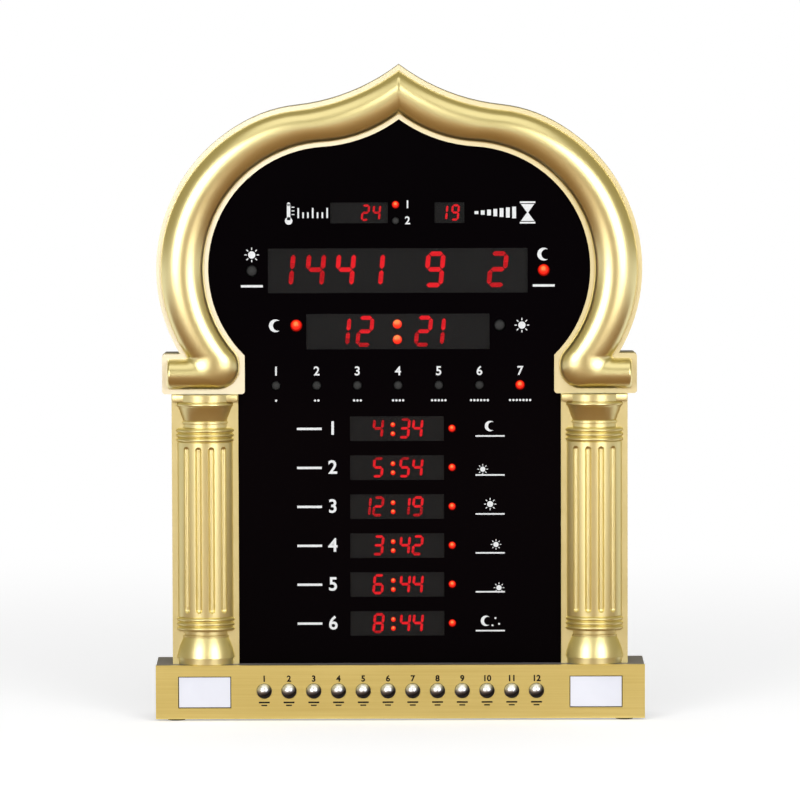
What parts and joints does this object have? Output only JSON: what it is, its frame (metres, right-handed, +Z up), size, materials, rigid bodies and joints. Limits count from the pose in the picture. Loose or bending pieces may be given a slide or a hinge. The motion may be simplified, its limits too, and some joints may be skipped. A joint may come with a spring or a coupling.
{
  "type": "azan clock",
  "caption": "Free-standing prayer-time clock: gold ogee arch frame with two fluted half columns, black panel with red digital displays, and a base with a row of chrome push buttons.",
  "frame": {"origin": "on the floor, in the middle of the footprint", "axes": "+Z up, +Y from the display towards the back, +X to the viewer's right"},
  "size_m": [0.336, 0.0532, 0.4504],
  "materials": {
    "plated_gold": "satin gold plating",
    "brushed_gold": "brushed, gold anodised",
    "grey_plastic": "fine moulded texture",
    "black_plastic": "moulded",
    "rubber": "matt",
    "pearl_plastic": "pearl white",
    "chrome": "mirror",
    "plunger_plastic": "moulded",
    "green_board": "solder mask",
    "black_acrylic": "polished",
    "smoked_acrylic": "polished",
    "red_glow": "lit from behind",
    "lit_lens": "lit lens",
    "dark_lens": "unlit lens",
    "screw_steel": "zinc plated",
    "cable_grey": "flat cable",
    "speaker_metal": "painted",
    "speaker_paper": "pressed paper",
    "sensor_black": "epoxy bead"
  },
  "bodies": {
    "clock": {"base_front": "brushed_gold", "base_housing": "grey_plastic", "base_bottom": "black_plastic", "base_screws": "screw_steel", "rubber_feet": "rubber", "left_plate": "pearl_plastic", "right_plate": "pearl_plastic", "switch_bodies": "black_plastic", "keypad_board": "green_board", "front_bezel": "plated_gold", "front_panel": "black_acrylic", "rear_cover": "grey_plastic", "cover_screws": "screw_steel", "arch_moulding": "plated_gold", "left_column": "plated_gold", "right_column": "plated_gold", "display_filters": "smoked_acrylic", "temp_display": "black_plastic", "count_display": "black_plastic", "date_display": "black_plastic", "time_display": "black_plastic", "row_display": "black_plastic", "lit_segments": "red_glow", "lit_lamps": "lit_lens", "unlit_lamps": "dark_lens", "display_board": "green_board", "main_board": "green_board", "board_chips": "black_plastic", "cell_holder": "black_plastic", "coin_cell": "screw_steel", "board_screws": "screw_steel", "ribbon_cable": "cable_grey", "speaker_frame": "speaker_metal", "speaker_cone": "speaker_paper", "dc_jack": "black_plastic", "temp_sensor": "sensor_black"},
    "key_01": {"button_01": "chrome", "plunger_01": "plunger_plastic"},
    "key_02": {"button_02": "chrome", "plunger_02": "plunger_plastic"},
    "key_03": {"button_03": "chrome", "plunger_03": "plunger_plastic"},
    "key_04": {"button_04": "chrome", "plunger_04": "plunger_plastic"},
    "key_05": {"button_05": "chrome", "plunger_05": "plunger_plastic"},
    "key_06": {"button_06": "chrome", "plunger_06": "plunger_plastic"},
    "key_07": {"button_07": "chrome", "plunger_07": "plunger_plastic"},
    "key_08": {"button_08": "chrome", "plunger_08": "plunger_plastic"},
    "key_09": {"button_09": "chrome", "plunger_09": "plunger_plastic"},
    "key_10": {"button_10": "chrome", "plunger_10": "plunger_plastic"},
    "key_11": {"button_11": "chrome", "plunger_11": "plunger_plastic"},
    "key_12": {"button_12": "chrome", "plunger_12": "plunger_plastic"}
  },
  "joints": [
    {"name": "button_01_press", "type": "slide", "parent": "clock", "child": "key_01", "axis": [0, 1, 0], "range_m": [0, 0.0008], "stiffness_N_per_m": 300, "springref_m": -0.0006},
    {"name": "button_02_press", "type": "slide", "parent": "clock", "child": "key_02", "axis": [0, 1, 0], "range_m": [0, 0.0008], "stiffness_N_per_m": 300, "springref_m": -0.0006},
    {"name": "button_03_press", "type": "slide", "parent": "clock", "child": "key_03", "axis": [0, 1, 0], "range_m": [0, 0.0008], "stiffness_N_per_m": 300, "springref_m": -0.0006},
    {"name": "button_04_press", "type": "slide", "parent": "clock", "child": "key_04", "axis": [0, 1, 0], "range_m": [0, 0.0008], "stiffness_N_per_m": 300, "springref_m": -0.0006},
    {"name": "button_05_press", "type": "slide", "parent": "clock", "child": "key_05", "axis": [0, 1, 0], "range_m": [0, 0.0008], "stiffness_N_per_m": 300, "springref_m": -0.0006},
    {"name": "button_06_press", "type": "slide", "parent": "clock", "child": "key_06", "axis": [0, 1, 0], "range_m": [0, 0.0008], "stiffness_N_per_m": 300, "springref_m": -0.0006},
    {"name": "button_07_press", "type": "slide", "parent": "clock", "child": "key_07", "axis": [0, 1, 0], "range_m": [0, 0.0008], "stiffness_N_per_m": 300, "springref_m": -0.0006},
    {"name": "button_08_press", "type": "slide", "parent": "clock", "child": "key_08", "axis": [0, 1, 0], "range_m": [0, 0.0008], "stiffness_N_per_m": 300, "springref_m": -0.0006},
    {"name": "button_09_press", "type": "slide", "parent": "clock", "child": "key_09", "axis": [0, 1, 0], "range_m": [0, 0.0008], "stiffness_N_per_m": 300, "springref_m": -0.0006},
    {"name": "button_10_press", "type": "slide", "parent": "clock", "child": "key_10", "axis": [0, 1, 0], "range_m": [0, 0.0008], "stiffness_N_per_m": 300, "springref_m": -0.0006},
    {"name": "button_11_press", "type": "slide", "parent": "clock", "child": "key_11", "axis": [0, 1, 0], "range_m": [0, 0.0008], "stiffness_N_per_m": 300, "springref_m": -0.0006},
    {"name": "button_12_press", "type": "slide", "parent": "clock", "child": "key_12", "axis": [0, 1, 0], "range_m": [0, 0.0008], "stiffness_N_per_m": 300, "springref_m": -0.0006}
  ]
}
